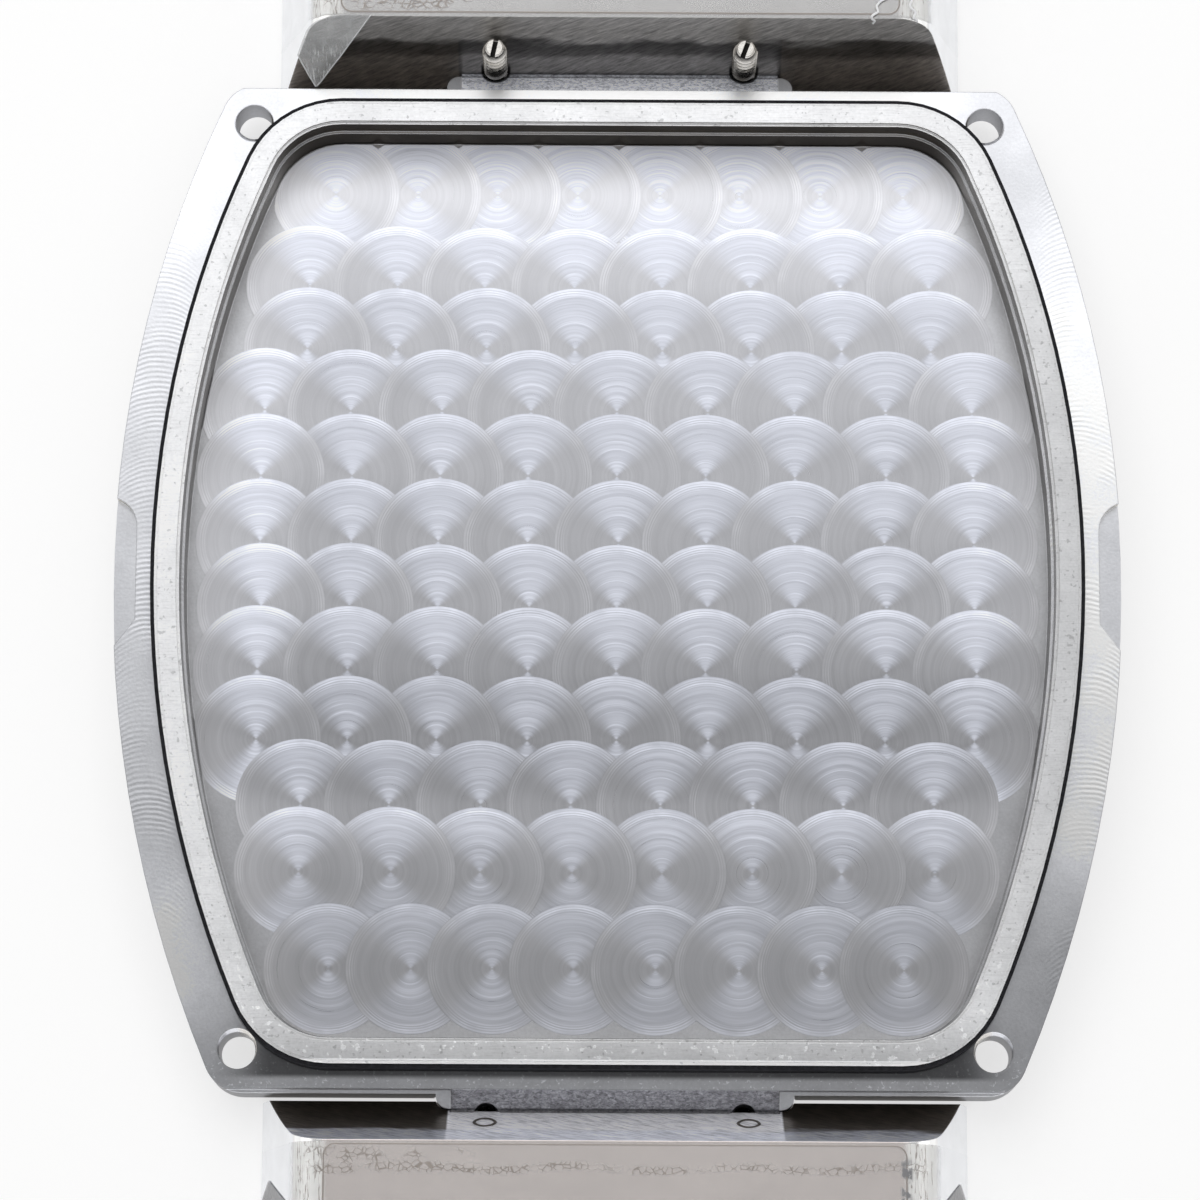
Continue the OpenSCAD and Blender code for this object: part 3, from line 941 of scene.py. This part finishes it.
def makeScrew(nodeName, s, tipTurn):
    low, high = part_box(nodeName)
    x, y = (low.x + high.x) / 2 / mm, (low.y + high.y) / 2 / mm
    bottom, top = low.z / mm, high.z / mm
    if y < 0:
        top -= s["sunk"]
    core = makeCore(s, x, y, bottom, top)
    cutSlot(core, (x, y, top), s["tipSlot"], tipTurn)
    cutSlot(core, (x, y, bottom), s["headSlot"], 90)
    thread = makeThread(s, x, y, bottom + s["headHeight"] + 0.12, top - s["tipTaper"] - 0.5 * s["pitch"])
    obj = joinAll([core, thread], nodeName + "_threaded")
    bpy.ops.object.shade_smooth_by_angle(angle=math.radians(32))
    return obj


def screwMaterial(s):
    material, tree = newMaterial("turned_steel", Metallic=1.0)
    place = placeMm(tree)
    x, y, z = split(tree, place)
    speck = noiseOf(tree, place, 5, 4, 0.6)
    stain = band(tree, noiseOf(tree, place, 1.6, 3), 0.5, 0.8)
    radius = fromHole(tree, x, y)
    root, tip = s["root"], s["tip12"]
    # Painted shade in the slot and between the threads, a painted highlight on the tip's top, and painted
    # shade towards the bottom
    slotShadow = times(tree, band(tree, radius, root - 0.02, root - 0.05), band(tree, z, tip - 0.01, tip - 0.04))
    threadRootShade = band(tree, radius, root + 0.02, s["crest"] - 0.02, 0.35, 1.0)
    onTop = band(tree, z, tip - s["tipTaper"] - 0.12, tip - s["tipTaper"])
    shade = times(tree, mixValue(tree, onTop, threadRootShade, 1.25), within(tree, slotShadow, 0.06),
                  band(tree, z, 3.2, 5.2, 0.55, 1.0))
    give(tree, Base_Color=tinted(tree, mixColour(tree, stain, s["steel"], s["stain"]), shade),
         Roughness=band(tree, speck, 0.3, 0.7, 0.14, 0.34), Normal=bumpOf(tree, speck, 0.02, 0.5))
    return material


turned = screwMaterial(screw)
for screwName, tipTurn in screw["tipTurns"].items():
    threaded = makeScrew(screwName, screw, tipTurn)
    wear(threaded, turned)
    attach(threaded, screwName)
    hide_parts(screwName)
print("strap screws cut")

# At 6 o'clock a light steel skin closes the hollow face over the screw holes, and a dark lens-shaped ring on
# it is a painted reflection of the holes

mirrored = {
    "half": 0.64,
    "heights": (2.84, 4.60),
    "thickness": 0.006,
    "dive": 0.03,  # how far its edges sink into the metal
    "marks": {"left": (-5.13, -5.1), "right": (5.26, 5.1)},  # X of the painted reflection ring, X of the hole
    "size": 0.42,
    "middle": 4.02,
    "rim": 0.062,
    "flat": 0.3,
    # the skin is painted light, like the middle of the hollow at 6
    "steel": (0.95, 0.95, 1.0),
    "dark": (0.10, 0.09, 0.08),
}


def makeSkin(name, x, m):
    # A thin skin on the hollow face, over the hole
    low, high = m["heights"]

    def place(u, share):
        across, z = 2 * u - 1, low + share * (high - low)
        edge = max(0.0, (abs(across) - 0.8) / 0.2, (share - 0.9) / 0.1)
        y = -(hollowY(z) - m["thickness"] / 2 + m["dive"] * edge)
        return Vector((x + across * m["half"], y, z))

    obj = solidGrid(name, 20, 20, place, m["thickness"])
    turnOutwards(obj)
    return obj


def makeHoleReflection(name, x, m):
    # A dark ring bent into a lens with pointed ends, a painted reflection of a hole's mouth
    deselectAll()
    bpy.ops.mesh.primitive_torus_add(major_segments=56, minor_segments=8, major_radius=mm,
                                     minor_radius=0.1 * mm)
    obj = bpy.context.active_object
    obj.name = name
    for vertex in obj.data.vertices:
        co = vertex.co / mm
        turn = math.atan2(co.y, co.x)
        off = (math.hypot(co.x, co.y) - 1) * m["rim"] / 0.1
        out, up = math.cos(turn), math.sin(turn)
        lens = math.copysign(abs(up) ** 1.25, up)
        z = m["middle"] + m["size"] * lens + off * up
        y = -(hollowY(z) - 0.03 - co.z / 0.1 * m["rim"] * m["flat"])
        vertex.co = Vector((x + m["size"] * out + off * out, y, z)) * mm
    smoothAll(obj)
    return obj


def skinMaterial(name, colour):
    material, tree = newMaterial(name, Metallic=link["metalOfMiddle6"])
    streaks = grindMarks(tree, placeMm(tree))
    give(tree, Base_Color=tinted(tree, colour, grindShade(tree, streaks)),
         Roughness=band(tree, streaks, 0.3, 0.7, 0.41, 0.49))
    return material


skinSteel = skinMaterial("skin_steel", mirrored["steel"])
reflectionDark = skinMaterial("painted_hole_reflection", mirrored["dark"])
for side, (markX, holeX) in mirrored["marks"].items():
    skin = makeSkin(f"hollow_skin_6_{side}", holeX, mirrored)
    wear(skin, skinSteel)
    reflectionRing = makeHoleReflection(f"hole_reflection_6_{side}", markX, mirrored)
    wear(reflectionRing, reflectionDark)
    for piece in (skin, reflectionRing):
        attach(piece, "case_back")
print("hole marks at 6 laid")

# Protective film

film = {
    "topHalf": 11.2,  # half width of the link's flat top, mm
    "shoulder": 1.6,
    "baseHalf": 14.08,
    "baseZ": 0.9,
    "gap": 0.012,
    "start": 22.80,
    "end": 25.75,
    "thickness": 0.03,
    "across": 380,
    "along": 44,
    "wrinkle": 0.045,
    "sheet": {"half": 11.32, "front": 22.90, "corner": 0.45, "step": 0.022},  # the flat one on top
    "bubbleRow": 23.8,
    "clear": (0.90, 0.88, 0.87),
    # painted white on the shoulders as a highlight, and bluish on the flanks as a reflection
    "white": (0.98, 0.98, 0.97),
    "blue": (0.86, 0.90, 0.98),
    "lines": (0.36, 0.32, 0.29),
    # painted dark grey as a reflection, on the loose corners at 6
    "dark": (0.26, 0.26, 0.27),
    "alpha": {"top": 0.10, "shoulder": 0.42, "flank": 0.02, "lines": 0.70, "shoulderLines": 0.35,
              "dark": 0.80},
    "gloss": 0.6,
}


def filmProfile(f, topZ):
    # Points and outward directions round the link's section, from flank to flank
    centreX, centreZ = f["topHalf"], topZ - f["shoulder"]
    dx, dz = f["baseHalf"] - centreX, f["baseZ"] - centreZ
    reach = math.hypot(dx, dz)
    touch = math.atan2(dz, dx) + math.acos(f["shoulder"] / reach)
    turnLength = f["shoulder"] * (math.pi / 2 - touch)
    half = f["topHalf"] + turnLength + math.sqrt(reach**2 - f["shoulder"] ** 2)

    def at(s):
        side, s = (1 if s >= 0 else -1), abs(s)
        if s <= f["topHalf"]:
            return Vector((side * s, 0, topZ)), Vector((0, 0, 1))
        s -= f["topHalf"]
        angle = math.pi / 2 - s / f["shoulder"] if s <= turnLength else touch
        out = Vector((side * math.cos(angle), 0, math.sin(angle)))
        down = Vector((side * math.sin(touch), 0, -math.cos(touch))) * max(0.0, s - turnLength)
        return Vector((side * centreX, 0, centreZ)) + out * f["shoulder"] + down, out

    return at, half


def insideSheet(x, y, h):
    # Distance inside the outline of the flat sheet, whose front corners are round
    qx = abs(x) - (h["half"] - h["corner"])
    qy = (h["front"] + h["corner"]) - abs(y)
    return h["corner"] - math.hypot(max(qx, 0), max(qy, 0)) - min(max(qx, qy), 0)


def makeFilm(f, nodeName, end, seed):
    at, half = filmProfile(f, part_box("end_link_12")[1].z / mm)

    def place(u, v):
        s = (2 * u - 1) * half
        y = f["start"] + v * (f["end"] - f["start"])
        point, out = at(s)
        crease = max(0.0, noise.noise(Vector((s * 0.9 + seed, y * 0.35, 0.2)))) ** 1.5
        folds = noise.noise(Vector((s * 2.6, y * 0.5, seed)))
        bubbles = noise.noise(Vector((s * 3.1, y * 3.4, seed)))
        near = math.exp(-((y - f["bubbleRow"] - 0.10 * math.sin(s)) / 0.16) ** 2)
        shoulder = math.exp(-((abs(s) - f["topHalf"] - 1.0) / 0.8) ** 2)
        wrinkle = crease * (0.25 + 1.2 * shoulder) + near * max(0.0, 0.3 + bubbles) + shoulder * (0.5 + folds)
        onSheet = min(1.0, max(0.0, insideSheet(s, y, f["sheet"]) / 0.06))
        point = point + out * (f["gap"] + f["wrinkle"] * wrinkle + f["sheet"]["step"] * onSheet)
        return Vector((end * point.x, end * y, point.z))

    return solidGrid(nodeName + "_creased", f["across"], f["along"], place, f["thickness"])


def sheetOutline(tree, h, farX, farY):
    # The flat sheet's outline, with its round front corners
    qx = minus(tree, farX, h["half"] - h["corner"])
    qy = minus(tree, h["front"] + h["corner"], farY)
    corner = lengthOf(tree, most(tree, qx, 0.0), most(tree, qy, 0.0))
    inner = least(tree, most(tree, qx, qy), 0.0)
    off = absolute(tree, minus(tree, plus(tree, corner, inner), h["corner"]))
    return band(tree, off, 0.05, 0.015)


def bubbleRims(tree, f, place, haze):
    # Rims of the little bubbles, in a row and scattered before its left part
    x, y, z = split(tree, place)
    farY = absolute(tree, y)
    cells = addNode(tree, "TexVoronoi", {"Vector": mapped(tree, place, (1, 1.35, 0)), "Scale": 3.6},
                    feature="DISTANCE_TO_EDGE")
    rims = band(tree, cells.outputs["Distance"], 0.10, 0.03)
    sway = times(tree, calc(tree, "SINE", x), 0.10)
    inRow = window(tree, minus(tree, farY, sway), f["bubbleRow"] - 0.10, f["bubbleRow"] + 0.12, 0.12)
    scattered = times(tree, window(tree, farY, 23.1, 23.9, 0.2), band(tree, x, -4.5, -6.5),
                      band(tree, haze, 0.45, 0.55))
    patches = band(tree, noiseOf(tree, place, 0.8, 2), 0.34, 0.48)
    return times(tree, rims, patches, most(tree, inRow, scattered), band(tree, z, 6.2, 6.3))


def filmMaterial(f):
    material, tree = newMaterial("clear_film", Specular_IOR_Level=f["gloss"])
    place = placeMm(tree)
    x, y, z = split(tree, place)
    farX, farY = absolute(tree, x), absolute(tree, y)
    haze = noiseOf(tree, place, 1.4, 4, 0.6)
    onShoulder = window(tree, farX, f["sheet"]["half"] + 0.1, 12.5, 0.25)
    onFlank = band(tree, farX, 12.5, 12.8)
    outline = times(tree, sheetOutline(tree, f["sheet"], farX, farY), band(tree, z, 5.9, 6.2))
    # Upright folds on the shoulders, and the loose corners at 6, painted dark grey as a reflection
    folds = noiseOf(tree, mapped(tree, place, (3.4, 0.22, 0.0)), 1.0, 3, 0.6)
    foldLines = times(tree, window(tree, folds, 0.495, 0.505, 0.008), onShoulder)
    rise = most(tree, timesPlus(tree, z, 0.37, -0.37 * 2.2), timesPlus(tree, z, -0.7, 0.7 * 2.2))
    looseCorner = times(tree, band(tree, minus(tree, farY, rise), 24.0, 24.06), band(tree, y, 1, -1), onFlank)
    # A ragged patch at 6, painted dark as a reflection
    ragged = times(tree, window(tree, x, 11.15, 11.5, 0.08), band(tree, y, -23.3, -23.6),
                   band(tree, noiseOf(tree, place, 3.0, 3, 0.7), 0.46, 0.52))
    dark = most(tree, looseCorner, ragged)
    lines = most(tree, outline, bubbleRims(tree, f, place, haze), foldLines)

    # Painted highlight: white on the shoulders; painted reflection: bluish on the flanks
    colour = mixColour(tree, onShoulder, f["clear"], f["white"])
    colour = mixColour(tree, onFlank, colour, f["blue"])
    colour = tinted(tree, colour, band(tree, haze, 0.3, 0.7, 0.96, 1.03))
    colour = mixColour(tree, lines, colour, f["lines"])
    a = f["alpha"]
    alpha = mixValue(tree, onShoulder, a["top"], a["shoulder"])
    ofLines = mixValue(tree, onShoulder, a["lines"], a["shoulderLines"])
    for mask, value in ((onFlank, a["flank"]), (lines, ofLines), (dark, a["dark"])):
        alpha = mixValue(tree, mask, alpha, value)
    give(tree, Base_Color=mixColour(tree, dark, colour, f["dark"]), Alpha=alpha,
         Roughness=band(tree, haze, 0.3, 0.7, 0.08, 0.2),
         Normal=bumpOf(tree, timesPlus(tree, folds, onShoulder, haze), 0.03, 0.5))
    return material


clearFilm = filmMaterial(film)
for filmNode, filmEnd, filmSeed in (("protective_film_12", 1, 3.0), ("protective_film_6", -1, 8.0)):
    creased = makeFilm(film, filmNode, filmEnd, filmSeed)
    wear(creased, clearFilm)
    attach(creased, "case_back")
    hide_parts(filmNode)
print("film laid")

flap = {
    "tip": (-12.44, 20.52, 3.68),
    "low": 3.9,  # height where its left edge leaves the link's flank, mm
    "right": -10.1,  # X where its right edge leaves the top edge
    "columns": 60,
    "rows": 30,
    "bulge": 0.25,
    "grey": (0.60, 0.61, 0.615),
    # its edges are painted light as a highlight
    "edge": (0.90, 0.91, 0.92),
    "brightAlpha": 0.85,
}


def makeFlap(p, f):
    # The film's loose corner, which hangs down from the link's edge over the hollow
    at, half = filmProfile(f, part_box("end_link_12")[1].z / mm)
    low = -half
    while at(low)[0].z < p["low"]:
        low += 0.02
    tip = Vector(p["tip"])

    def place(u, v):
        point, out = at(low + u * (p["right"] - low))
        edge = Vector((point.x, hollowY(point.z) + 0.02, point.z)) + out * 0.06
        flat = tip + (edge - tip) * (0.02 + 0.98 * v)
        bulge = math.sin(math.pi * v) * (0.4 + 0.6 * math.sin(math.pi * u)) * p["bulge"]
        ripple = 0.04 * noise.noise(Vector((u * 4, v * 5, 1.7))) * v * (1 - v) * 4
        return flat + Vector((0, -1, 0.6)).normalized() * (bulge * 0.5 + ripple)

    return solidGrid("film_flap_12", p["columns"], p["rows"], place, f["thickness"])


def flapMaterial(p):
    material, tree = newMaterial("hazy_film", Specular_IOR_Level=film["gloss"])
    u, v, _ = split(tree, addNode(tree, "UVMap", uv_map="sheet").outputs[0])
    place = placeMm(tree)
    # A painted highlight along the sheet's edges, with bright scratches near the tip
    edge = band(tree, times(tree, least(tree, u, minus(tree, 1.0, u)), v), 0.016, 0.006)
    haze = noiseOf(tree, place, 1.8, 4, 0.6)
    scratches = noiseOf(tree, mapped(tree, place, (9, 1.2, 1.2), (0, 0, 35)), 1.5, 4, 0.7)
    marks = times(tree, band(tree, scratches, 0.56, 0.63), band(tree, v, 0.80, 0.20))
    bright = most(tree, edge, marks)
    give(tree, Base_Color=mixColour(tree, bright, p["grey"], p["edge"]),
         Alpha=mixValue(tree, bright, band(tree, haze, 0.3, 0.7, 0.26, 0.42), p["brightAlpha"]),
         Roughness=band(tree, haze, 0.3, 0.7, 0.15, 0.35), Normal=bumpOf(tree, scratches, 0.02, 0.5))
    return material


shreds = {
    "paths": (
        ((11.25, 24.4), (11.0, 23.75), (10.6, 23.45), (10.34, 22.98), (10.22, 22.70), (10.30, 22.45)),
        ((11.50, 24.4), (11.72, 23.8), (11.80, 23.2), (11.94, 22.78), (12.02, 22.60)),
    ),
    "width": 0.09,
    "rows": 40,
    "edge": (22.78, 1.4),  # Y of the link's top edge, and how steeply they hang over it
    "white": (0.92, 0.92, 0.93),
    "grey": (0.72, 0.73, 0.75),
}


def makeShred(name, path, h, f):
    # A thin torn strip that lies over the link's top edge
    at = filmProfile(f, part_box("end_link_12")[1].z / mm)[0]
    edgeY, steep = h["edge"]

    def spot(t):
        index = min(int(t * (len(path) - 1)), len(path) - 2)
        share = t * (len(path) - 1) - index
        x, y = [here + (ahead - here) * share for here, ahead in zip(path[index], path[index + 1])]
        x += 0.07 * math.sin(t * 23) + 0.05 * noise.noise(Vector((t * 9, 0, path[0][0])))
        point, out = at(x)
        over = max(0.0, edgeY - y)  # how far it hangs over the edge
        y = max(y, edgeY - 0.06 - over * 0.3)
        return Vector((point.x, y, point.z)) + out * 0.10 - Vector((0, 0, over * steep))

    def place(u, v):
        here, ahead = spot(v), spot(min(1.0, v + 0.02)) - spot(max(0.0, v - 0.02))
        aside = Vector((ahead.y, -ahead.x, 0))
        return here + aside.normalized() * (u - 0.5) * h["width"]

    return solidGrid(name, 2, h["rows"], place, f["thickness"])


def shredMaterial(h):
    material, tree = newMaterial("torn_film", Roughness=0.3)
    give(tree, Base_Color=mixColour(tree, noiseOf(tree, placeMm(tree), 5, 3), h["white"], h["grey"]))
    return material


pieces = [makeFlap(flap, film)]
wear(pieces[0], flapMaterial(flap))
torn = shredMaterial(shreds)
for pathIndex, path in enumerate(shreds["paths"]):
    pieces.append(makeShred(f"film_shred_{pathIndex + 1}", path, shreds, film))
    wear(pieces[-1], torn)
for piece in pieces:
    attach(piece, "case_back")
print("loose film corner and shreds hung")
